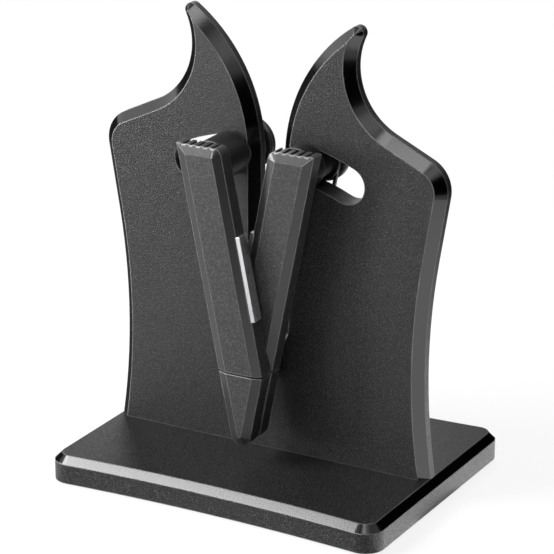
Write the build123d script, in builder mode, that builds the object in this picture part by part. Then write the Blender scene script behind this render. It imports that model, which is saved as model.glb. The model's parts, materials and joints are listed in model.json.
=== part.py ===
"""Manual knife sharpener: two spring-loaded sharpening arms crossed in front of a horned upright.

Millimetres. X runs along the upright, Y away from the user, Z up.
The origin is the middle of the footprint, on the surface that the feet stand on.
"""

import os
from math import acos, asin, ceil, cos, degrees, hypot, pi, radians, sin, sqrt, tan

from build123d import *

# Clearances shared by all pieces
fit_gap = 0.03
running_gap = 0.05
face_gap = 0.3
overrun = 4.0

# Base plate
base_width = 120.0
base_depth = 93.1
base_thickness = 9.0
base_chamfer = 2.4
base_corner_radius = 6.5
base_waist = 2.75

# Rubber feet
foot_radius = 6.5
foot_thickness = 3.0
foot_proud = 0.8
foot_edge = 0.35
foot_inset_x = 13.0
foot_inset_y = 12.0

# Upright: heights are measured from the top of the base
upright_thickness = 8.0
upright_face_offset = 5.7
front_bevel = 3.2
rear_bevel = 2.2
side_waist_x = 54.9
side_waist_height = 36.0
side_radius = 226.0
shoulder_x = 51.0
shoulder_height = 96.0
shoulder_radius = 10.6
slope_length = 14.5
neck_radius = 22.6
horn_radius = 55.3
horn_height = 99.1
horn_turn = 55.5
tip_radius = 2.3
knife_gap = 8.6
knife_gap_floor = 43.0

# Arms: the pivot is where both arms cross, the rest are sizes of one arm
pivot_height = 32.0
arm_tilt = 11.4
arm_swing = 12.5
arm_thickness = 6.2
arm_bevel = 3.0
arm_bevel_depth = 1.15
arm_width = 15.5
arm_rise = 73.8
arm_gap = 0.3
arm_standoff = 6.6
head_corner_radius = 3.0
nose_radius = 3.6
nose_seam = 0.6

# Ribs on top of each arm
rib_count = 6
rib_groove = 1.3
rib_groove_depth = 1.3
rib_margin = 1.3

# Sharpening rod seated in the inner side of each arm, a little proud of it
rod_start = 17.1
rod_length = 28.0
rod_thickness = 1.5
rod_proud = 1.2
rod_depth = 4.3

# Hub that carries each arm's head in its guide slot
hub_reach = 68.4
hub_neck_radius = 7.1
hub_shaft_radius = 4.0
hub_spigot = 3.4
slot_half_width = 6.25
slide_gap = 0.15
slot_end_gap = 0.4

# Flanged sleeve, retaining disc and screw behind the upright
sleeve_radius = 5.5
sleeve_flange_radius = 7.6
sleeve_flange = 0.9
disc_setback = 3.3
disc_radius = 8.6
disc_thickness = 2.8
disc_chamfer = 0.5
hub_screw_radius = 2.0
hub_screw_length = 12.0
hub_screw_head_radius = 3.9
hub_screw_head = 2.4
hub_screw_socket = 1.5

# Pivot pin, bushes, spacer and washer
pin_radius = 2.5
pin_flange_radius = 5.0
pin_flange = 1.4
pin_pass_gap = 0.3
bush_radius = 4.0
bush_length = 4.0
spacer_radius = 6.0
washer_radius = 7.0
washer_thickness = 1.0
axial_play = 0.12

# Dowels that join each nose to its bar
dowel_radius = 0.7
dowel_reach = 4.5
dowel_offset = 5.5

# Torsion springs, one behind the other on a spool
wire_diameter = 1.4
coil_radius = 6.5
coil_pitch = 2.0
coil_turns = 3
coil_first_gap = 2.85
coil_spacing = 2.4
leg_gap = 0.15
leg_setback = 2.25
leg_past_hub = 5.0
leg_below_hub = 13.0
fixed_leg_length = 19.0

# Spool, end washer and screw
spool_wall_gap = 0.6
spool_flange_radius = 8.6
spool_flange = 1.2
spool_end_gap = 0.4
cap_radius = 5.0
cap_thickness = 0.8
spool_screw_radius = 1.5
spool_screw_length = 9.0
spool_screw_head_radius = 2.9
spool_screw_head = 2.0
spool_screw_socket = 1.2

# Pegs that hold the springs' fixed legs
peg_radius = 1.6
peg_root = 5.0
peg_inset = 3.0
peg_past_leg = 2.0

# Screws and threaded inserts that hold the upright to the base
base_screw_spacing = 27.0
base_screw_count = 4
base_screw_radius = 2.0
base_screw_head_radius = 3.6
base_screw_head = 2.4
base_screw_recess = 3.2
base_screw_socket = 1.5
insert_radius = 2.9
insert_length = 9.0
screw_in_insert = 7.5
screw_pass_gap = 0.25

# Levels and depths worked out from the sizes above
base_top = foot_proud + base_thickness
pivot_z = base_top + pivot_height
upright_front = -upright_face_offset
upright_rear = upright_front + upright_thickness
upright_middle = (upright_front + upright_rear) / 2
right_arm_rear = upright_front - arm_standoff
left_arm_rear = right_arm_rear - arm_thickness - arm_gap
tilt = radians(arm_tilt)
lean = tan(tilt)
half_level_width = arm_width / 2 / cos(tilt)
hub_neck_rear = upright_front - face_gap
sleeve_front = upright_rear + face_gap
disc_front = upright_rear + disc_setback
spool_front = upright_rear + pin_flange
leg_y = upright_rear + leg_setback
front_coil_y = upright_rear + coil_first_gap
wire_radius = wire_diameter / 2
leg_offset = sleeve_radius + wire_radius + leg_gap
leg_tilt = tilt - asin((coil_radius - leg_offset) / hub_reach)
coil_sweep = coil_turns * 2 * pi + pi / 2 - leg_tilt
coil_length = coil_pitch * coil_sweep / (2 * pi)
rear_coil_y = front_coil_y + coil_length + coil_spacing
spool_rear = rear_coil_y + coil_length + wire_radius + spool_end_gap + spool_flange

# Each arm: its side of the knife gap, the depth of its rear face and the start of its coil
arms = {
    "left": (-1, left_arm_rear, front_coil_y),
    "right": (1, right_arm_rear, rear_coil_y),
}

os.makedirs("parts", exist_ok=True)


def save(builder, label):
    """Label a finished piece and write it out."""
    builder.part.label = label
    export_step(builder.part, f"parts/{label}.step")


def depth_plane(y):
    """Plane across the sharpener at depth y: its own x and y are the world's X and Z."""
    return Plane.XZ.offset(-y)


def tube(front, rear, outer_radius, inner_radius, centre):
    """Tube along Y between two depths, about a point of the front view."""
    with BuildSketch(depth_plane(front)) as ring:
        with Locations(centre):
            Circle(outer_radius)
            Circle(inner_radius, mode=Mode.SUBTRACT)
    extrude(ring.sketch, amount=front - rear)


def rod_along_y(front, rear, radius, centre, mode=Mode.ADD):
    """Plain cylinder along Y between two depths, about a point of the front view."""
    with BuildSketch(depth_plane(front)) as disc:
        with Locations(centre):
            Circle(radius)
    extrude(disc.sketch, amount=front - rear, mode=mode)


def hub_point(side):
    """Centre of an arm's hub in the front view, at rest."""
    return (side * hub_reach * sin(tilt), pivot_z + hub_reach * cos(tilt))


def bevel_rim(outline, width, depth, facing):
    """Cut a bevel round a flat outline, on the side of the block that faces one way.

    Each edge takes away a wedge: a straight one along a line, a turned one round an arc.
    """
    face = outline.faces()[0]
    probe = width / 100
    for edge in face.outer_wire().edges():
        run = edge % 0
        out = run.cross(facing)
        if face.is_inside(edge.position_at(0.5) + (edge % 0.5).cross(facing) * probe):
            out = -out
        straight = edge.geom_type == GeomType.LINE
        reach_in = width
        reach_out = width
        if not straight:
            bulges = (edge.arc_center - edge @ 0).dot(out) < 0
            reach_in = min(width, edge.radius) if bulges else width
            reach_out = width if bulges else min(width, edge.radius) / 2
        profile = [
            (-reach_in, width),
            (-reach_in, depth * (reach_in / width - 1)),
            (0, -depth),
            (reach_out, -depth),
            (reach_out, width),
        ]
        section = Plane(origin=edge @ 0, x_dir=out, z_dir=out.cross(facing))
        with BuildSketch(section) as wedge:
            with BuildLine():
                Polyline(*profile, close=True)
            make_face()
        if straight:
            extrude(wedge.sketch, amount=edge.length, dir=run, mode=Mode.SUBTRACT)
        else:
            axis = Axis(edge.arc_center, (edge @ 0 - edge.arc_center).cross(run))
            turn = degrees(edge.length / edge.radius)
            revolve(wedge.sketch, axis=axis, revolution_arc=turn, mode=Mode.SUBTRACT)


def crossing_tangent(centre_a, radius_a, centre_b, radius_b, turn):
    """Touching points of the line that passes between two circles, on the side given by turn."""
    span = centre_b - centre_a
    swing = degrees(acos((radius_a + radius_b) / span.length))
    normal = span.normalized().rotate(Axis.Z, turn * swing)
    return centre_a + normal * radius_a, centre_b - normal * radius_b


def circles_meet(centre_a, radius_a, centre_b, radius_b):
    """Crossing of two circles, the one farther from the knife gap."""
    span = centre_b - centre_a
    along = (radius_a**2 - radius_b**2 + span.length**2) / (2 * span.length)
    aside = sqrt(radius_a**2 - along**2)
    unit = span.normalized()
    side = unit.rotate(Axis.Z, 90)
    crossings = [centre_a + unit * along + side * aside, centre_a + unit * along - side * aside]
    return max(crossings, key=lambda point: point.X)


def upright_outline():
    """Half the upright's outline as tangent arcs and lines, then its mirror image."""
    half_gap = knife_gap / 2
    gap_floor = base_top + knife_gap_floor
    side = Vector(side_waist_x + side_radius, base_top + side_waist_height)
    shoulder = Vector(shoulder_x, base_top + shoulder_height)
    horn = Vector(half_gap + horn_radius, base_top + horn_height)
    tip = horn + Vector(-1, 0).rotate(Axis.Z, -horn_turn) * (horn_radius - tip_radius)
    neck_reach = hypot(slope_length, neck_radius + shoulder_radius)
    neck = circles_meet(tip, neck_radius + tip_radius, shoulder, neck_reach)
    side_end, shoulder_start = crossing_tangent(side, side_radius, shoulder, shoulder_radius, 1)
    shoulder_end, neck_start = crossing_tangent(shoulder, shoulder_radius, neck, neck_radius, -1)
    neck_end = neck + (tip - neck).normalized() * neck_radius
    horn_end = horn + (tip - horn).normalized() * horn_radius
    foot_z = base_top - overrun
    foot_x = side.X - sqrt(side_radius**2 - (side.Y - foot_z) ** 2)
    with BuildLine() as rim:
        floor = TangentArc((0, gap_floor - half_gap), (half_gap, gap_floor), tangent=(1, 0))
        wall = Line(floor @ 1, (half_gap, horn.Y))
        inner = TangentArc(wall @ 1, horn_end, tangent=wall % 1)
        point = TangentArc(inner @ 1, neck_end, tangent=inner % 1)
        hollow = TangentArc(point @ 1, neck_start, tangent=point % 1)
        slope = Line(hollow @ 1, shoulder_end)
        shoulder_arc = TangentArc(slope @ 1, shoulder_start, tangent=slope % 1)
        flank = Line(shoulder_arc @ 1, side_end)
        waist = TangentArc(flank @ 1, (foot_x, foot_z), tangent=flank % 1)
        Line(waist @ 1, (0, foot_z))
        mirror(about=Plane.YZ)
    return rim.edges()


def inner_top(side):
    """Corner of an arm's head beside the knife gap, before it is rounded."""
    return (side * (lean * arm_rise - half_level_width), pivot_z + arm_rise)


def arm_outline(side):
    """Front outline of a whole arm: a slanted bar above the pivot, a straight nose below it."""
    top = pivot_z + arm_rise
    apex_z = pivot_z - half_level_width / lean
    nose_z = apex_z + nose_radius / sin(tilt)
    touch_x = nose_radius * cos(tilt)
    touch_z = nose_z - nose_radius * sin(tilt)
    outer_top = (side * (lean * arm_rise + half_level_width), top)
    with BuildLine() as rim:
        outer = Line(outer_top, (side * touch_x, touch_z))
        nose = ThreePointArc(outer @ 1, (0, nose_z - nose_radius), (-side * touch_x, touch_z))
        Polyline(nose @ 1, (-side * half_level_width, pivot_z), inner_top(side), outer_top)
    return rim.edges()


def arm_blank(side, rear):
    """Whole arm before it is parted into bar and nose, bevelled round its front face."""
    with BuildSketch(depth_plane(rear - arm_thickness)) as outline:
        make_face(arm_outline(side))
        corner = outline.vertices().sort_by_distance(inner_top(side))[0]
        fillet(corner, radius=head_corner_radius)
    extrude(outline.sketch, amount=-arm_thickness)
    bevel_rim(outline.sketch, arm_bevel, arm_bevel_depth, Vector(0, -1, 0))


def pivot_bore(side, rear):
    """Blind seat for the pivot bush, and on the right arm the way through for the pin."""
    pivot = (0, pivot_z)
    rod_along_y(rear - bush_length - fit_gap, rear, bush_radius + fit_gap, pivot, Mode.SUBTRACT)
    if side > 0:
        front = rear - arm_thickness
        rod_along_y(front, rear, pin_radius + pin_pass_gap, pivot, Mode.SUBTRACT)


def dowels(rear, radius, reach, mode=Mode.ADD):
    """Pair of upright cylinders across the seam between bar and nose."""
    middle = rear - arm_thickness / 2
    with BuildSketch(Plane.XY.offset(pivot_z - reach)) as pair:
        with Locations((-dowel_offset, middle), (dowel_offset, middle)):
            Circle(radius)
    extrude(pair.sketch, amount=2 * reach, mode=mode)


def arm_frame(side, y):
    """Plane at depth y whose own y axis runs up along an arm, from the pivot."""
    return Plane(origin=(0, y, pivot_z), x_dir=(cos(tilt), 0, -side * sin(tilt)), z_dir=(0, -1, 0))


# Base plate with pockets for the feet and recessed holes for the upright's screws
foot_x = base_width / 2 - foot_inset_x
foot_y = base_depth / 2 - foot_inset_y
with BuildPart() as base_plate:
    with BuildSketch(Plane.XY.offset(foot_proud)) as footprint:
        with BuildLine():
            half_x = base_width / 2
            half_y = base_depth / 2
            front_edge = ThreePointArc((-half_x, -half_y), (0, base_waist - half_y), (half_x, -half_y))
            right_edge = Line(front_edge @ 1, (half_x, half_y))
            rear_edge = ThreePointArc(right_edge @ 1, (0, half_y - base_waist), (-half_x, half_y))
            Line(rear_edge @ 1, front_edge @ 0)
        make_face()
        fillet(footprint.vertices(), radius=base_corner_radius)
    extrude(amount=base_thickness)
    chamfer(base_plate.faces().sort_by(Axis.Z)[-1].edges(), length=base_chamfer)
    with BuildSketch(Plane.XY.offset(foot_proud)):
        with GridLocations(2 * foot_x, 2 * foot_y, 2, 2):
            Circle(foot_radius + fit_gap)
    extrude(amount=foot_thickness - foot_proud, mode=Mode.SUBTRACT)
    with BuildSketch(Plane.XY.offset(foot_proud)):
        with Locations((0, upright_middle)):
            with GridLocations(base_screw_spacing, base_screw_spacing, base_screw_count, 1):
                Circle(base_screw_radius + screw_pass_gap)
    extrude(amount=base_thickness, mode=Mode.SUBTRACT)
    with BuildSketch(Plane.XY.offset(foot_proud)):
        with Locations((0, upright_middle)):
            with GridLocations(base_screw_spacing, base_screw_spacing, base_screw_count, 1):
                Circle(base_screw_head_radius + screw_pass_gap)
    extrude(amount=base_screw_recess, mode=Mode.SUBTRACT)
save(base_plate, "base_plate")

# Four rubber feet pushed into the pockets
with BuildPart() as rubber_feet:
    with BuildSketch():
        with GridLocations(2 * foot_x, 2 * foot_y, 2, 2):
            Circle(foot_radius)
    extrude(amount=foot_thickness)
    chamfer(rubber_feet.edges().group_by(Axis.Z)[0], length=foot_edge)
save(rubber_feet, "rubber_feet")

# Socket screws up through the base into the upright
screw_head_z = foot_proud + base_screw_recess
with BuildPart() as base_screws:
    with BuildSketch(Plane.XY.offset(screw_head_z - base_screw_head)) as heads:
        with Locations((0, upright_middle)):
            with GridLocations(base_screw_spacing, base_screw_spacing, base_screw_count, 1):
                Circle(base_screw_head_radius)
    extrude(amount=base_screw_head)
    with BuildSketch(Plane.XY.offset(screw_head_z)):
        with Locations((0, upright_middle)):
            with GridLocations(base_screw_spacing, base_screw_spacing, base_screw_count, 1):
                Circle(base_screw_radius)
    extrude(amount=base_top + screw_in_insert - screw_head_z)
    with BuildSketch(Plane.XY.offset(screw_head_z - base_screw_head)):
        with Locations((0, upright_middle)):
            with GridLocations(base_screw_spacing, base_screw_spacing, base_screw_count, 1):
                RegularPolygon(base_screw_socket, 6)
    extrude(amount=base_screw_head * 2 / 3, mode=Mode.SUBTRACT)
save(base_screws, "base_screws")

# Brass inserts set into the upright's foot
with BuildPart() as threaded_inserts:
    with BuildSketch(Plane.XY.offset(base_top)):
        with Locations((0, upright_middle)):
            with GridLocations(base_screw_spacing, base_screw_spacing, base_screw_count, 1):
                Circle(insert_radius)
                Circle(base_screw_radius + fit_gap, mode=Mode.SUBTRACT)
    extrude(amount=insert_length)
save(threaded_inserts, "threaded_inserts")

# Spring legs leave the coils level with the pivot's underside, towards a peg on the other side
peg_x = fixed_leg_length - peg_inset
peg_z = pivot_z - coil_radius + wire_radius + leg_gap + peg_radius
peg_ends = {
    "left": front_coil_y + coil_length + peg_past_leg,
    "right": rear_coil_y + coil_length + peg_past_leg,
}

# Upright: horned plate with the knife gap, two curved guide slots and the pivot's seat
with BuildPart() as upright:
    with BuildSketch(depth_plane(upright_front)) as front_outline:
        make_face(upright_outline())
    extrude(amount=-upright_thickness)
    bevel_rim(front_outline.sketch, front_bevel, front_bevel, Vector(0, -1, 0))
    rear_outline = front_outline.sketch.moved(Location((0, upright_thickness, 0)))
    bevel_rim(rear_outline, rear_bevel, rear_bevel, Vector(0, 1, 0))
    split(bisect_by=Plane.XY.offset(base_top), keep=Keep.TOP)
    slot_slack = degrees(slot_end_gap / hub_reach)
    for side, rear, coil_y in arms.values():
        first = 90 - side * (arm_tilt - slot_slack)
        with BuildSketch(depth_plane(upright_front)):
            with BuildLine():
                track = CenterArc((0, pivot_z), hub_reach, first, -side * (arm_swing + 2 * slot_slack))
            SlotArc(track, 2 * slot_half_width)
        extrude(amount=-upright_thickness, mode=Mode.SUBTRACT)
        peg = (-side * peg_x, peg_z)
        rod_along_y(upright_rear - peg_root, upright_rear, peg_radius + fit_gap, peg, Mode.SUBTRACT)
    rod_along_y(upright_front, upright_rear, pin_radius + fit_gap, (0, pivot_z), Mode.SUBTRACT)
    with BuildSketch(Plane.XY.offset(base_top)):
        with Locations((0, upright_middle)):
            with GridLocations(base_screw_spacing, base_screw_spacing, base_screw_count, 1):
                Circle(insert_radius + fit_gap)
    extrude(amount=insert_length + fit_gap, mode=Mode.SUBTRACT)
save(upright, "upright")

# Pivot pin: flanged against the back of the upright, bored at its rear end for a screw
pin_front = left_arm_rear - bush_length + axial_play
with BuildPart() as pivot_pin:
    rod_along_y(pin_front, spool_rear, pin_radius, (0, pivot_z))
    rod_along_y(upright_rear, spool_front, pin_flange_radius, (0, pivot_z))
    screw_hole = spool_rear + cap_thickness - spool_screw_length
    rod_along_y(screw_hole, spool_rear, spool_screw_radius + fit_gap, (0, pivot_z), Mode.SUBTRACT)
save(pivot_pin, "pivot_pin")

# Spacer and thrust washer between the upright and the right arm
spacer_front = right_arm_rear + axial_play + washer_thickness
with BuildPart() as pivot_spacer:
    tube(spacer_front, upright_front, spacer_radius, pin_radius + fit_gap, (0, pivot_z))
save(pivot_spacer, "pivot_spacer")

with BuildPart() as thrust_washer:
    washer_front = spacer_front - washer_thickness
    tube(washer_front, spacer_front, washer_radius, pin_radius + fit_gap, (0, pivot_z))
save(thrust_washer, "thrust_washer")

# Spool that the springs are wound on
spool_radius = coil_radius - wire_radius - spool_wall_gap
with BuildPart() as spring_spool:
    tube(spool_front, spool_rear, spool_radius, pin_radius + fit_gap, (0, pivot_z))
    flange_front = spool_rear - spool_flange
    tube(flange_front, spool_rear, spool_flange_radius, pin_radius + fit_gap, (0, pivot_z))
save(spring_spool, "spring_spool")

# End washer and the screw that holds it to the pin
cap_rear = spool_rear + cap_thickness
with BuildPart() as spool_washer:
    tube(spool_rear, cap_rear, cap_radius, spool_screw_radius + fit_gap, (0, pivot_z))
save(spool_washer, "spool_washer")

with BuildPart() as spool_screw:
    head_rear = cap_rear + spool_screw_head
    rod_along_y(cap_rear - spool_screw_length, cap_rear, spool_screw_radius, (0, pivot_z))
    rod_along_y(cap_rear, head_rear, spool_screw_head_radius, (0, pivot_z))
    with BuildSketch(depth_plane(head_rear)):
        with Locations((0, pivot_z)):
            RegularPolygon(spool_screw_socket, 6)
    extrude(amount=spool_screw_head * 2 / 3, mode=Mode.SUBTRACT)
save(spool_screw, "spool_screw")

# Pegs in the back of the upright, each against the underside leg of one spring
with BuildPart() as spring_pegs:
    for name, (side, rear, coil_y) in arms.items():
        rod_along_y(upright_rear - peg_root, peg_ends[name], peg_radius, (-side * peg_x, peg_z))
save(spring_pegs, "spring_pegs")


def make_bar(name, side, rear):
    """Arm above the pivot, with a ribbed top, the rod's notch and the hub's seat."""
    front = rear - arm_thickness
    top = pivot_z + arm_rise
    level_width = 2 * half_level_width
    pitch = (level_width - 2 * rib_margin) / (rib_count - 1)
    with BuildPart() as bar:
        arm_blank(side, rear)
        split(bisect_by=Plane.XY.offset(pivot_z + nose_seam / 2), keep=Keep.TOP)
        with BuildSketch(depth_plane(rear)):
            with Locations((side * lean * arm_rise, top)):
                with GridLocations(pitch, pitch, rib_count - 1, 1):
                    Rectangle(rib_groove, 2 * rib_groove_depth)
        extrude(amount=arm_thickness - arm_bevel_depth, mode=Mode.SUBTRACT)
        seat_depth = rod_thickness - rod_proud + fit_gap
        notch_x = -side * (arm_width / 2 + overrun / 2 - seat_depth / 2)
        with BuildSketch(arm_frame(side, front)):
            with Locations((notch_x, rod_start + rod_length / 2)):
                Rectangle(seat_depth + overrun, rod_length)
        extrude(amount=-arm_bevel_depth - rod_depth - fit_gap, mode=Mode.SUBTRACT)
        seat = hub_shaft_radius + fit_gap
        rod_along_y(rear - hub_spigot - fit_gap, rear, seat, hub_point(side), Mode.SUBTRACT)
        pivot_bore(side, rear)
        dowels(rear, dowel_radius + fit_gap, dowel_reach + fit_gap, Mode.SUBTRACT)
    save(bar, f"{name}_bar")


def make_nose(name, side, rear):
    """Tapered end of the arm below the pivot."""
    with BuildPart() as nose:
        arm_blank(side, rear)
        split(bisect_by=Plane.XY.offset(pivot_z - nose_seam / 2), keep=Keep.BOTTOM)
        pivot_bore(side, rear)
        dowels(rear, dowel_radius + fit_gap, dowel_reach + fit_gap, Mode.SUBTRACT)
    save(nose, f"{name}_nose")


def make_dowels(name, rear):
    """Pair of pins between bar and nose."""
    with BuildPart() as pins:
        dowels(rear, dowel_radius, dowel_reach)
    save(pins, f"{name}_nose_dowels")


def make_rod(name, side, rear):
    """Hard steel rod that stands in the notch, its front level with the bevel's outer edge."""
    front = rear - arm_thickness + arm_bevel_depth
    rod_x = -side * (arm_width / 2 + rod_proud - rod_thickness / 2)
    with BuildPart() as rod:
        with BuildSketch(arm_frame(side, front)):
            with Locations((rod_x, rod_start + rod_length / 2)):
                Rectangle(rod_thickness, rod_length - 2 * fit_gap)
        extrude(amount=-rod_depth)
    save(rod, f"{name}_sharpening_rod")


def make_pivot_bush(name, rear):
    """Plain bearing in the arm, running on the pivot pin."""
    with BuildPart() as bush:
        tube(rear - bush_length, rear, bush_radius, pin_radius + running_gap, (0, pivot_z))
    save(bush, f"{name}_pivot_bush")


def make_hub(name, side, rear):
    """Post from the arm's back to the guide slot, with a shaft through the upright."""
    centre = hub_point(side)
    screw_hole = disc_front + disc_thickness - hub_screw_length
    with BuildPart() as hub:
        rod_along_y(rear - hub_spigot, disc_front, hub_shaft_radius, centre)
        rod_along_y(rear, hub_neck_rear, hub_neck_radius, centre)
        rod_along_y(screw_hole, disc_front, hub_screw_radius + fit_gap, centre, Mode.SUBTRACT)
    save(hub, f"{name}_hub")


def make_slide_bush(name, side):
    """Bush on the hub's shaft that runs in the guide slot."""
    with BuildPart() as bush:
        outer = slot_half_width - slide_gap
        tube(hub_neck_rear, sleeve_front, outer, hub_shaft_radius + fit_gap, hub_point(side))
    save(bush, f"{name}_slide_bush")


def make_sleeve(name, side):
    """Flanged sleeve behind the slot that the spring's leg presses on."""
    centre = hub_point(side)
    bore = hub_shaft_radius + fit_gap
    with BuildPart() as sleeve:
        tube(sleeve_front, disc_front, sleeve_radius, bore, centre)
        tube(sleeve_front, sleeve_front + sleeve_flange, sleeve_flange_radius, bore, centre)
    save(sleeve, f"{name}_spring_sleeve")


def make_disc(name, side):
    """Round retaining disc at the end of the hub."""
    disc_rear = disc_front + disc_thickness
    with BuildPart() as disc:
        tube(disc_front, disc_rear, disc_radius, hub_screw_radius + screw_pass_gap, hub_point(side))
        rims = disc.edges().filter_by(GeomType.CIRCLE).sort_by(SortBy.RADIUS)[-2:]
        chamfer(rims, length=disc_chamfer)
    save(disc, f"{name}_retaining_disc")


def make_hub_screw(name, side):
    """Socket screw that clamps disc and sleeve to the hub."""
    centre = hub_point(side)
    seat = disc_front + disc_thickness
    with BuildPart() as screw:
        rod_along_y(seat - hub_screw_length, seat, hub_screw_radius, centre)
        rod_along_y(seat, seat + hub_screw_head, hub_screw_head_radius, centre)
        with BuildSketch(depth_plane(seat + hub_screw_head)):
            with Locations(centre):
                RegularPolygon(hub_screw_socket, 6)
        extrude(amount=hub_screw_head * 2 / 3, mode=Mode.SUBTRACT)
    save(screw, f"{name}_hub_screw")


def biarc(start, start_run, end, end_run):
    """Two arcs that leave start and reach end along the given directions."""
    chord = end - start
    runs = start_run + end_run
    bend = 2 * (1 - start_run.dot(end_run))
    pull = chord.dot(runs)
    handle = (sqrt(pull**2 + bend * chord.dot(chord)) - pull) / bend
    joint = (start + end + (start_run - end_run) * handle) / 2
    first = TangentArc(start, joint, tangent=start_run)
    TangentArc(joint, end, tangent=first % 1)


def least_gap(wire, thickness):
    """Least distance between the surfaces of stretches of one wire that are half a turn apart."""
    count = ceil(wire.length / thickness) * 2
    step = wire.length / count
    apart = ceil(pi * coil_radius / step)
    points = [wire.position_at(index / count) for index in range(count + 1)]
    pairs = [(a, b) for a in range(count + 1) for b in range(a + apart, count + 1)]
    return min((points[a] - points[b]).length for a, b in pairs) - thickness


def make_spring(name, side, coil_y):
    """Torsion spring: a bent leg from the hub's sleeve, quarter turns of a helix, a leg to the peg."""
    leg_up = Vector(side * sin(leg_tilt), 0, cos(leg_tilt))
    quarters = 4 * coil_turns + 1
    rise = coil_length / coil_sweep

    with BuildPart() as spring:
        with BuildLine() as wire:
            stations = []
            for index in range(quarters + 1):
                angle = coil_sweep * index / quarters
                turn = leg_tilt + angle
                out = Vector(side * cos(turn), 0, -sin(turn))
                run = Vector(-side * sin(turn), rise / coil_radius, -cos(turn)).normalized()
                place = Vector(0, coil_y + rise * angle, pivot_z) + out * coil_radius
                stations.append((place, run))
            stations[-1] = (stations[-1][0], Vector(-side, 0, 0))
            start, start_run = stations[0]
            bend = start + leg_up * (hub_reach - leg_below_hub) + Vector(0, leg_y - coil_y, 0)
            Line(bend + leg_up * (leg_below_hub + leg_past_hub), bend)
            biarc(bend, -leg_up, start, start_run)
            for (place, run), (next_place, next_run) in zip(stations, stations[1:]):
                biarc(place, run, next_place, next_run)
            end, end_run = stations[-1]
            Line(end, end + end_run * fixed_leg_length)
        path = wire.wires()[0]
        with BuildSketch(Plane(origin=path @ 0, z_dir=path % 0)):
            Circle(wire_radius)
        sweep(path=path)
    print(f"{name}_spring least gap {least_gap(path, wire_diameter):.3f} mm")
    save(spring, f"{name}_spring")


for name, (side, rear, coil_y) in arms.items():
    make_bar(name, side, rear)
    make_nose(name, side, rear)
    make_dowels(name, rear)
    make_rod(name, side, rear)
    make_pivot_bush(name, rear)
    make_hub(name, side, rear)
    make_slide_bush(name, side)
    make_sleeve(name, side)
    make_disc(name, side)
    make_hub_screw(name, side)
    make_spring(name, side, coil_y)
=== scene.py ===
"""Manual knife sharpener: finishes of every piece, the wound springs, a white studio and the camera.

Metres, in the same frame as the solids: X along the upright, Y away from the user, Z up.
"""

import json
from math import asin, cos, pi, radians, sin

import bpy
import numpy as np
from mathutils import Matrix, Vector


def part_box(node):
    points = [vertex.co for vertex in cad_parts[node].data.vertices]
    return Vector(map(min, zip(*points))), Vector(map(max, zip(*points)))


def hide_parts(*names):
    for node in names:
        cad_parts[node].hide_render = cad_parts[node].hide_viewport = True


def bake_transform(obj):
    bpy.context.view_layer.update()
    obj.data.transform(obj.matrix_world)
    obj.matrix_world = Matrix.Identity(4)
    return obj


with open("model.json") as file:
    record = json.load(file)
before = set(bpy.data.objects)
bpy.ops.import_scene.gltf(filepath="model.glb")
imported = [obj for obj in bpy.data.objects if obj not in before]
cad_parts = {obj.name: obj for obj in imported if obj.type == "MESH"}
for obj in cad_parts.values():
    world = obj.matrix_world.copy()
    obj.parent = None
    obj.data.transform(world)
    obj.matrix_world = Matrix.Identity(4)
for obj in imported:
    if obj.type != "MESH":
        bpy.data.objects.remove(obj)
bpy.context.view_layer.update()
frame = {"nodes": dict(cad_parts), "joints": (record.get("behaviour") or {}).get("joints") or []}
nodes = frame["nodes"]
scene = bpy.context.scene
both = ("left", "right")

# Springs: the same wire, winding and legs as the solids that they stand for
wire_radius = 0.0007
wire_chamfer_share = 0.3
wire_sides = 16
coil_radius = 0.0065
coil_pitch = 0.002
coil_turns = 3
hub_reach = 0.0684
leg_offset = 0.00635
leg_past_hub = 0.005
leg_below_hub = 0.013
fixed_leg_length = 0.019
arm_tilt = radians(11.4)
leg_tilt = arm_tilt - asin((coil_radius - leg_offset) / hub_reach)
coil_sweep = coil_turns * 2 * pi + pi / 2 - leg_tilt
coil_length = coil_pitch * coil_sweep / (2 * pi)
points_per_turn = 48
points_per_run = 24

# Noise in the finishes: nearly all of its values lie in this span
noise_span = (0.25, 0.75)

# Moulded plastic: grain on the flat faces whose light spots are partly painted glints, smooth bevels, and
# rounded edges painted lighter, partly as edge wear and partly as painted edge highlight
plastic_ior = 1.5
grain_size = 0.00036
grain_detail = 3.0
# The light spots of the grain, few and bright over this narrow span, are partly painted glints
grain_and_glint_spots = (0.5, 0.74)
grain_roughness = 0.12
bevel_slants = (0.1, 0.97)
bevel_grain_share = 0.03
plastic_edge_radius = 0.00045
# Grey painted on the edges: partly edge wear, partly painted highlight along the edge lines
edge_wear_and_highlight = (0.24, 0.24, 0.24)
wear_and_highlight_slants = (0.998, 0.97)
wear_and_highlight_length = 0.009
wear_and_highlight_detail = 2.0
least_wear_and_highlight = 0.35

# Steel: fine lines drawn along the height
line_stretch = (1, 1, 0.06)
line_detail = 3.0
line_depth = 0.000004
line_dimness = 0.8
line_smoothness = 0.05
line_roughness = 0.08
steel_edge_radius = 0.0002

# Rubber of the feet: a soft mottle
rubber_shine = 0.3
rubber_dark = (0.02, 0.02, 0.02)
rubber_light = (0.04, 0.04, 0.04)
rubber_roughness = (0.7, 0.9)
mottle_size = 0.0009
mottle_detail = 4.0
mottle_depth = 0.00003
rubber_edge_radius = 0.0003

# Camera: it looks at a point above the middle of the base
view_azimuth = radians(29.32)
view_elevation = radians(19.92)
view_distance = 0.9158
view_target = Vector((0, 0, 0.0672))
view_lens = 184.8
sensor_width = 36.0

# Studio: a white surrounding, and a floor that is whiter further from the object
white = (1, 1, 1, 1)
fill_strength = 0.1
floor_paper = (0.9, 0.9, 0.9, 1)
floor_reach = 6.0
floor_white_distances = (0.12, 0.4)
floor_white_shares = (0.85, 1.0)

# Cards round the object: angles in degrees, from the front towards the right
card_distance = 0.36
card_lift = 0.0005
card_steps = 32

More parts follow.
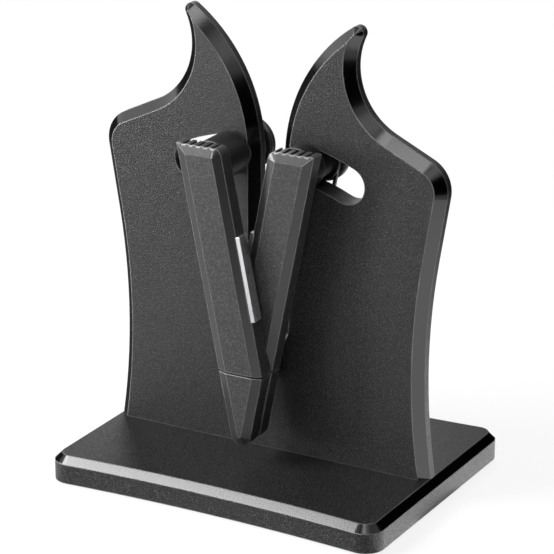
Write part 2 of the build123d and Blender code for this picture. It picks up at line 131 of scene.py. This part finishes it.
# Name, first and last angle, lower and upper edge, brightness
standing_cards = (
    ("front_card", -12, 40, 0, 0.6, 0.0),
    ("right_card", 40, 165, 0, 0.28, 0.0),
    ("rear_right_card", 165, 198, 0, 0.6, 0.0),
    ("rear_card", 198, 226, 0, 0.6, 1.25),
    ("rear_left_card", 226, 258, 0, 0.6, 0.05),
    ("left_card", 258, 285, 0, 0.18, 0.05),
    ("shoulder_card", 258, 285, 0.18, 0.5, 1.8),
)

# Name, first and last angle, near and far edge, brightness
lying_cards = (
    ("front_floor_card", -25, 7, 0.075, 0.36, 0.1),
    ("front_reflector", 7, 22, 0.11, 0.36, 1.8),
    ("front_right_floor_card", 22, 40, 0.075, 0.36, 0.1),
    ("left_floor_card", 200, 275, 0.075, 0.36, 0.1),
    ("rear_floor_card", 125, 200, 0.2, 0.36, 0.0),
    ("front_right_reflector", 58, 100, 0.13, 0.24, 2.6),
    ("right_reflector", 55, 150, 0.062, 0.13, 2.8),
)

# Name, direction from the camera's target, distance, width, height, power in watts
lamps = (
    ("key_softbox", (-0.6, -0.55, 0.58), 0.7, 0.3, 0.3, 7.4),
    ("left_strip", (-0.85, -0.5, 0.1), 0.8, 0.14, 0.3, 3.8),
    ("shoulder_lamp", (0.2, -0.52, 0.82), 0.7, 0.2, 0.2, 0.75),
    ("horn_lamp", (0.42, -0.49, 0.76), 0.77, 0.3, 0.4, 0.45),
    ("rear_softbox", (-0.2, 0.6, 0.75), 0.8, 0.4, 0.4, 3.5),
)


def add_node(tree, kind, inputs=None, **settings):
    """A shader node with its settings and its unlinked inputs."""
    node = tree.nodes.new(kind)
    for name, value in settings.items():
        setattr(node, name, value)
    for name, value in (inputs or {}).items():
        node.inputs[name].default_value = value
    return node


def start_material(name, **surface):
    """A material whose one shader has the given plain sockets."""
    material = bpy.data.materials.new(name)
    material.use_nodes = True
    tree = material.node_tree
    shader = tree.nodes["Principled BSDF"]
    for socket, value in surface.items():
        shader.inputs[socket.replace("_", " ")].default_value = value
    place = add_node(tree, "ShaderNodeTexCoord").outputs["Object"]
    return material, tree, shader, place


def speckle(tree, place, size, detail):
    """Noise with grains of the given size, as a value from 0 to 1."""
    noise = add_node(tree, "ShaderNodeTexNoise", {"Scale": 1 / size, "Detail": detail})
    tree.links.new(place, noise.inputs["Vector"])
    return noise.outputs["Fac"]


def spread(tree, noise, low, high):
    """The noise over its usual span, stretched over low to high."""
    start, end = noise_span
    span = {"From Min": start, "From Max": end, "To Min": low, "To Max": high}
    ranged = add_node(tree, "ShaderNodeMapRange", span)
    tree.links.new(noise, ranged.inputs["Value"])
    return ranged.outputs["Result"]


def tint(tree, noise, dark, light, span=noise_span):
    """A colour from dark to light, as the noise goes over the span."""
    ramp = add_node(tree, "ShaderNodeValToRGB")
    for stop, position, colour in zip(ramp.color_ramp.elements, span, (dark, light)):
        stop.position = position
        stop.color = (*colour, 1)
    tree.links.new(noise, ramp.inputs["Fac"])
    return ramp.outputs["Color"]


def roughen(tree, shader, height, depth, edge_radius, edge_samples=6):
    """Bump of the given depth over normals that are rounded at the piece's edges."""
    edge = add_node(tree, "ShaderNodeBevel", {"Radius": edge_radius}, samples=edge_samples)
    bump = add_node(tree, "ShaderNodeBump", {"Strength": 1.0, "Distance": depth})
    tree.links.new(edge.outputs["Normal"], bump.inputs["Normal"])
    tree.links.new(height, bump.inputs["Height"])
    tree.links.new(bump.outputs["Normal"], shader.inputs["Normal"])
    return edge.outputs["Normal"], bump.inputs["Strength"]


def face_normal(tree):
    """The normal of the face itself, without bump or rounded edges."""
    return add_node(tree, "ShaderNodeNewGeometry").outputs["Normal"]


def edge_wear_and_highlight_mask(tree, place, rounded):
    """Up to 1 on the piece's edges that are painted lighter, partly as edge wear and partly as painted
    edge highlight, where the rounded normal leaves the face's own normal.

    A slow noise along the edges makes some stretches of them lighter than others.
    """
    agree = add_node(tree, "ShaderNodeVectorMath", operation="DOT_PRODUCT")
    tree.links.new(rounded, agree.inputs[0])
    tree.links.new(face_normal(tree), agree.inputs[1])
    flat, slanting = wear_and_highlight_slants
    wear_and_highlight_share = add_node(tree, "ShaderNodeMapRange", {"From Min": flat, "From Max": slanting})
    tree.links.new(agree.outputs["Value"], wear_and_highlight_share.inputs["Value"])
    stretches = speckle(tree, place, wear_and_highlight_length, wear_and_highlight_detail)
    uneven = add_node(tree, "ShaderNodeMath", operation="MULTIPLY")
    tree.links.new(wear_and_highlight_share.outputs["Result"], uneven.inputs[0])
    tree.links.new(spread(tree, stretches, least_wear_and_highlight, 1.0), uneven.inputs[1])
    return uneven.outputs["Value"]


def bevel_mask(tree, across):
    """1 on slanting faces, whose normal lies neither along the given axis nor at right angles to it."""
    facing = add_node(tree, "ShaderNodeSeparateXYZ")
    tree.links.new(face_normal(tree), facing.inputs["Vector"])
    size = add_node(tree, "ShaderNodeMath", operation="ABSOLUTE")
    tree.links.new(facing.outputs[across], size.inputs[0])
    least, most = bevel_slants
    band = add_node(tree, "ShaderNodeValToRGB")
    band.color_ramp.interpolation = "CONSTANT"
    band.color_ramp.elements[0].color = (0, 0, 0, 1)
    band.color_ramp.elements[1].position = least
    band.color_ramp.elements[1].color = (1, 1, 1, 1)
    band.color_ramp.elements.new(most).color = (0, 0, 0, 1)
    tree.links.new(size.outputs["Value"], band.inputs["Fac"])
    return band.outputs["Color"]


def blend_colours(tree, mask, off, on):
    """The colour of the socket off where the mask is 0, and the plain colour on where it is 1."""
    first, second, result = 6, 7, 2
    mix = add_node(tree, "ShaderNodeMix", data_type="RGBA")
    tree.links.new(mask, mix.inputs["Factor"])
    tree.links.new(off, mix.inputs[first])
    mix.inputs[second].default_value = (*on, 1)
    return mix.outputs[result]


def blend_values(tree, mask, off, on):
    """The value off where the mask is 0 and on where it is 1; each is a number or a socket."""
    mix = add_node(tree, "ShaderNodeMix")
    tree.links.new(mask, mix.inputs["Factor"])
    for socket, value in (("A", off), ("B", on)):
        if isinstance(value, float):
            mix.inputs[socket].default_value = value
        else:
            tree.links.new(value, mix.inputs[socket])
    return mix.outputs["Result"]


def moulded_plastic(name, dark, light, roughness, grain_depth, shine, across=None, bevel_roughness=0.16):
    """Black moulded plastic: a spark-eroded grain on the faces whose light spots are partly painted
    glints, smooth bevels, small rounded edges painted lighter as edge wear and as painted edge highlight.

    Dark and light are the greys of the grain. Across is the axis that the bevels slant away from.
    """
    material, tree, shader, place = start_material(name, IOR=plastic_ior, Specular_IOR_Level=shine)
    grain = speckle(tree, place, grain_size, grain_detail)
    # Light grain spots: partly the grain's own tone, partly painted glints
    colour = tint(tree, grain, (dark,) * 3, (light,) * 3, grain_and_glint_spots)
    rounded, grain_strength = roughen(tree, shader, grain, grain_depth, plastic_edge_radius)
    rough = spread(tree, grain, roughness + grain_roughness, roughness - grain_roughness)
    if across:
        bevels = bevel_mask(tree, across)
        colour = blend_colours(tree, bevels, colour, (dark,) * 3)
        rough = blend_values(tree, bevels, rough, bevel_roughness)
        tree.links.new(blend_values(tree, bevels, 1.0, bevel_grain_share), grain_strength)
    # Edges painted lighter grey: partly edge wear, partly painted edge highlight
    wear_and_highlight_colour = blend_colours(tree, edge_wear_and_highlight_mask(tree, place, rounded), colour, edge_wear_and_highlight)
    tree.links.new(wear_and_highlight_colour, shader.inputs["Base Color"])
    tree.links.new(rough, shader.inputs["Roughness"])
    return material


def polished_steel(name, colour, roughness, line_size=0.0003):
    """Steel with fine drawn lines: noise that is stretched along the piece's height."""
    material, tree, shader, place = start_material(name, Metallic=1.0)
    stretch = add_node(tree, "ShaderNodeMapping", {"Scale": line_stretch})
    tree.links.new(place, stretch.inputs["Vector"])
    lines = speckle(tree, stretch.outputs["Vector"], line_size, line_detail)
    dim = tuple(line_dimness * part for part in colour)
    tree.links.new(tint(tree, lines, dim, colour), shader.inputs["Base Color"])
    rough = spread(tree, lines, roughness - line_smoothness, roughness + line_roughness)
    tree.links.new(rough, shader.inputs["Roughness"])
    roughen(tree, shader, lines, line_depth, steel_edge_radius)
    return material


def foot_rubber():
    """Dull dark rubber with a soft mottle."""
    material, tree, shader, place = start_material("foot_rubber", Specular_IOR_Level=rubber_shine)
    mottle = speckle(tree, place, mottle_size, mottle_detail)
    tree.links.new(tint(tree, mottle, rubber_dark, rubber_light), shader.inputs["Base Color"])
    tree.links.new(spread(tree, mottle, *rubber_roughness), shader.inputs["Roughness"])
    roughen(tree, shader, mottle, mottle_depth, rubber_edge_radius)
    return material


def spring_path(side, coil_y, leg_y, pivot):
    """Middle line of a spring's wire, from the leg behind the arm's head to the fixed leg.

    The leg runs down beside the sleeve, eases back to the winding's depth along two parabolas, turns
    round the pivot at the coil radius while its depth grows steadily, and leaves level below the spool.
    """
    leg_up = np.array([side * sin(leg_tilt), 0, cos(leg_tilt)])
    middle = np.array([pivot[0], 0, pivot[2]])
    coil_start = middle + coil_radius * np.array([side * cos(leg_tilt), 0, -sin(leg_tilt)])
    bend_reach = hub_reach - leg_below_hub

    run = np.linspace(hub_reach + leg_past_hub, bend_reach, points_per_run, endpoint=False)
    leg = coil_start + run[:, None] * leg_up + [0, leg_y, 0]

    share = np.linspace(0, 1, points_per_run, endpoint=False)
    ease = np.where(share < 0.5, 2 * share**2, 1 - 2 * (1 - share) ** 2)
    bend = coil_start + (bend_reach * (1 - share))[:, None] * leg_up
    bend[:, 1] = leg_y + (coil_y - leg_y) * ease

    angle = np.linspace(0, coil_sweep, int(points_per_turn * coil_sweep / (2 * pi)))
    turn = leg_tilt + angle
    around = np.column_stack([side * np.cos(turn), np.zeros_like(turn), -np.sin(turn)])
    coil = middle + coil_radius * around
    coil[:, 1] = coil_y + coil_length * angle / coil_sweep

    away = np.linspace(0, fixed_leg_length, points_per_run + 1)[1:]
    fixed = coil[-1] + away[:, None] * np.array([-side, 0, 0])
    return np.concatenate([leg, bend, coil, fixed])


def wire_tube(name, path, radius, sides):
    """Round tube along a path whose runs all lie nearly across Y, with chamfered flat ends.

    Each ring is the path's point plus the radius times a circle, in the plane of two directions at
    right angles to the path: Y with its share along the path taken out, and their cross product.
    """
    along = np.gradient(path, axis=0)
    along /= np.linalg.norm(along, axis=1, keepdims=True)
    first = np.array([0.0, 1.0, 0.0]) - along[:, 1:2] * along
    first /= np.linalg.norm(first, axis=1, keepdims=True)
    second = np.cross(along, first)

    chamfer = wire_chamfer_share * radius
    start = path[:1] + chamfer * along[:1]
    end = path[-1:] - chamfer * along[-1:]
    middle = np.concatenate([path[:1], start, path[1:-1], end, path[-1:]])
    widths = np.full(len(middle), radius)
    widths[[0, -1]] = radius - chamfer

    rows = np.concatenate([[0], np.arange(len(path)), [len(path) - 1]])
    angle = np.linspace(0, 2 * pi, sides, endpoint=False)[:, None, None]
    circle = np.cos(angle) * first[rows] + np.sin(angle) * second[rows]
    rings = (middle + widths[:, None] * circle).transpose(1, 0, 2)

    ring = np.arange(len(middle) - 1)[:, None] * sides
    corner = np.arange(sides)[None, :]
    after = (corner + 1) % sides
    quads = np.stack([ring + corner, ring + after, ring + sides + after, ring + sides + corner], axis=-1)
    last_ring = sides * (len(middle) - 1)
    caps = [list(range(sides))[::-1], list(range(last_ring, last_ring + sides))]
    mesh = bpy.data.meshes.new(name)
    mesh.from_pydata(rings.reshape(-1, 3), [], quads.reshape(-1, 4).tolist() + caps)
    mesh.polygons.foreach_set("use_smooth", [True] * quads[..., 0].size + [False] * len(caps))
    mesh.update()
    tube = bpy.data.objects.new(name, mesh)
    scene.collection.objects.link(tube)
    return tube


def add_spring(label, side, pivot, wire):
    """Torsion spring that winds up between the stand and its arm."""
    low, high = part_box(label + "_spring")
    leg_y = low.y + wire_radius
    coil_y = high.y - wire_radius - coil_length
    path = spring_path(side, coil_y, leg_y, pivot)
    spring = wire_tube(label + "_wound_spring", path, wire_radius, wire_sides)
    spring.data.materials.append(wire)
    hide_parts(label + "_spring")
    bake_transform(spring)


def dress(material, *names):
    """Gives the named nodes one finish."""
    for name in names:
        for slot in nodes[name].material_slots:
            slot.material = material


def dress_both(material, *pieces):
    """Gives the named pieces of the left and the right side one finish."""
    dress(material, *[label + "_" + piece for label in both for piece in pieces])


def larger(tree, first, second):
    """The larger of two values."""
    node = add_node(tree, "ShaderNodeMath", operation="MAXIMUM")
    tree.links.new(first, node.inputs[0])
    tree.links.new(second, node.inputs[1])
    return node.outputs["Value"]


def seen_white(tree):
    """1 for rays from the camera, from shiny surfaces and through clear ones, 0 for all others."""
    path = add_node(tree, "ShaderNodeLightPath")
    direct = larger(tree, path.outputs["Is Camera Ray"], path.outputs["Is Glossy Ray"])
    return larger(tree, direct, path.outputs["Is Transmission Ray"])


def mix_surfaces(tree, share, off, on, output):
    """Shows the shader off where the share is 0 and the shader on where it is 1."""
    mix = add_node(tree, "ShaderNodeMixShader")
    tree.links.new(share, mix.inputs["Fac"])
    tree.links.new(off.outputs[0], mix.inputs[1])
    tree.links.new(on.outputs[0], mix.inputs[2])
    tree.links.new(mix.outputs[0], tree.nodes[output].inputs["Surface"])


def add_world():
    """White where it is seen, and a soft grey fill for everything that it lights."""
    world = bpy.data.worlds.new("studio")
    world.use_nodes = True
    scene.world = world
    tree = world.node_tree
    fill = tree.nodes["Background"]
    fill.inputs["Color"].default_value = white
    fill.inputs["Strength"].default_value = fill_strength
    backdrop = add_node(tree, "ShaderNodeBackground", {"Color": white, "Strength": 1.0})
    mix_surfaces(tree, seen_white(tree), fill, backdrop, "World Output")


def bare_material(name):
    """A material without a shader as yet."""
    material = bpy.data.materials.new(name)
    material.use_nodes = True
    tree = material.node_tree
    tree.nodes.remove(tree.nodes["Principled BSDF"])
    return material, tree


def add_sheet(name, grid, material):
    """Sheet over a grid of points, with a face between each four neighbours."""
    rows, columns = grid.shape[:2]
    corner = (np.arange(rows - 1)[:, None] * columns + np.arange(columns - 1)).ravel()
    quads = np.column_stack([corner, corner + 1, corner + columns + 1, corner + columns])
    mesh = bpy.data.meshes.new(name)
    mesh.from_pydata(grid.reshape(-1, 3), [], quads.tolist())
    mesh.materials.append(material)
    sheet = bpy.data.objects.new(name, mesh)
    scene.collection.objects.link(sheet)
    return sheet


def add_floor():
    """Plain white floor that keeps a light shadow of the object."""
    material, tree = bare_material("white_floor")
    paper = add_node(tree, "ShaderNodeBsdfDiffuse", {"Color": floor_paper})
    glow = add_node(tree, "ShaderNodeEmission", {"Color": white, "Strength": 1.0})
    reach = add_node(tree, "ShaderNodeVectorMath", operation="LENGTH")
    tree.links.new(add_node(tree, "ShaderNodeTexCoord").outputs["Object"], reach.inputs[0])
    near, far = floor_white_distances
    near_share, far_share = floor_white_shares
    span = {"From Min": near, "From Max": far, "To Min": near_share, "To Max": far_share}
    fade = add_node(tree, "ShaderNodeMapRange", span)
    tree.links.new(reach.outputs["Value"], fade.inputs["Value"])
    share = add_node(tree, "ShaderNodeMath", operation="MULTIPLY")
    tree.links.new(seen_white(tree), share.inputs[0])
    tree.links.new(fade.outputs["Result"], share.inputs[1])
    mix_surfaces(tree, share.outputs["Value"], paper, glow, "Material Output")
    across, away = np.meshgrid([-floor_reach, floor_reach], [-floor_reach, floor_reach])
    floor = add_sheet("floor", np.stack([across, away, np.zeros_like(across)], axis=-1), material)


def add_card(name, grid, brightness):
    """Dark or bright card of the studio, over a grid of points, which only shiny surfaces show."""
    material, tree = bare_material(name)
    paper = add_node(tree, "ShaderNodeEmission", {"Color": white, "Strength": brightness})
    tree.links.new(paper.outputs[0], tree.nodes["Material Output"].inputs["Surface"])
    card = add_sheet(name, grid, material)
    card.visible_camera = False
    card.visible_diffuse = False
    card.visible_shadow = False


def standing_card(name, start, end, low, high, brightness):
    """Part of an upright cylinder: the first parameter turns from start to end, the second rises."""
    turns = np.radians(np.linspace(start, end, card_steps))
    turn, rise = np.meshgrid(turns, np.linspace(low, high, 2))
    grid = np.stack([np.sin(turn) * card_distance, -np.cos(turn) * card_distance, rise], axis=-1)
    add_card(name, grid, brightness)


def lying_card(name, start, end, near, far, brightness):
    """Part of a level ring just over the floor: the first parameter turns, the second goes outwards."""
    turns = np.radians(np.linspace(start, end, card_steps))
    turn, reach = np.meshgrid(turns, np.linspace(near, far, 2))
    grid = np.stack([np.sin(turn) * reach, -np.cos(turn) * reach, np.full_like(turn, card_lift)], axis=-1)
    add_card(name, grid, brightness)


def add_lamp(name, towards, distance, width, height, power):
    """Soft lamp of the given width and height, looking at the object from the given direction."""
    lamp = bpy.data.lights.new(name, "AREA")
    lamp.shape = "RECTANGLE"
    lamp.size = width
    lamp.size_y = height
    lamp.energy = power
    holder = bpy.data.objects.new(name, lamp)
    place = view_target + Vector(towards).normalized() * distance
    holder.location = place
    holder.rotation_euler = (view_target - place).to_track_quat("-Z", "Y").to_euler()
    holder.visible_camera = False
    scene.collection.objects.link(holder)


def add_camera():
    """Camera at the photograph's angle and distance."""
    lens = bpy.data.cameras.new("camera")
    lens.lens = view_lens
    lens.sensor_width = sensor_width
    camera = bpy.data.objects.new("camera", lens)
    level = cos(view_elevation)
    towards = Vector((sin(view_azimuth) * level, -cos(view_azimuth) * level, sin(view_elevation)))
    camera.location = view_target + towards * view_distance
    camera.rotation_euler = (-towards).to_track_quat("-Z", "Y").to_euler()
    scene.collection.objects.link(camera)
    scene.camera = camera


# Plastic pieces
upright_plastic = moulded_plastic(
    "upright_plastic", dark=0.001, light=0.06, roughness=0.4, grain_depth=0.0002, shine=0.45, across="Y"
)
base_plastic = moulded_plastic(
    "base_plastic", dark=0.001, light=0.075, roughness=0.4, grain_depth=0.0002, shine=0.35, across="Z"
)
arm_plastic = moulded_plastic(
    "arm_plastic", dark=0.014, light=0.075, roughness=0.42, grain_depth=0.00015, shine=0.5, across="Y",
    bevel_roughness=0.26
)
hub_plastic = moulded_plastic(
    "hub_plastic", dark=0.006, light=0.02, roughness=0.5, grain_depth=0.00004, shine=0.35
)
bush_plastic = moulded_plastic(
    "bush_plastic", dark=0.008, light=0.014, roughness=0.5, grain_depth=0.000006, shine=0.1
)
dress(upright_plastic, "upright")
dress(base_plastic, "base_plate")
dress_both(arm_plastic, "bar", "nose", "retaining_disc")
dress(hub_plastic, "spring_spool")
dress_both(hub_plastic, "hub", "spring_sleeve")
dress(bush_plastic, "pivot_spacer", "thrust_washer")
dress_both(bush_plastic, "pivot_bush", "slide_bush")

# Metal pieces and the feet
rod_steel = polished_steel("rod_steel", colour=(0.96, 0.96, 0.97), roughness=0.3)
pin_steel = polished_steel("pin_steel", colour=(0.6, 0.6, 0.61), roughness=0.25)
screw_steel = polished_steel("screw_steel", colour=(0.5, 0.5, 0.51), roughness=0.32)
spring_wire = polished_steel("spring_wire", colour=(0.16, 0.16, 0.165), roughness=0.3, line_size=0.0004)
insert_brass = polished_steel("insert_brass", colour=(0.75, 0.55, 0.25), roughness=0.3)
dress_both(rod_steel, "sharpening_rod")
dress(pin_steel, "pivot_pin", "spring_pegs")
dress_both(pin_steel, "nose_dowels")
dress(screw_steel, "base_screws", "spool_screw", "spool_washer")
dress_both(screw_steel, "hub_screw")
dress(insert_brass, "threaded_inserts")
dress(foot_rubber(), "rubber_feet")

# Springs, one on each side of the pivot
pivot = frame["joints"][0]["pos_m"]
add_spring("left", -1, pivot, spring_wire)
add_spring("right", 1, pivot, spring_wire)

# Studio
add_world()
add_floor()
for card in standing_cards:
    standing_card(*card)
for card in lying_cards:
    lying_card(*card)
for lamp in lamps:
    add_lamp(*lamp)
add_camera()
scene.view_settings.view_transform = "Standard"
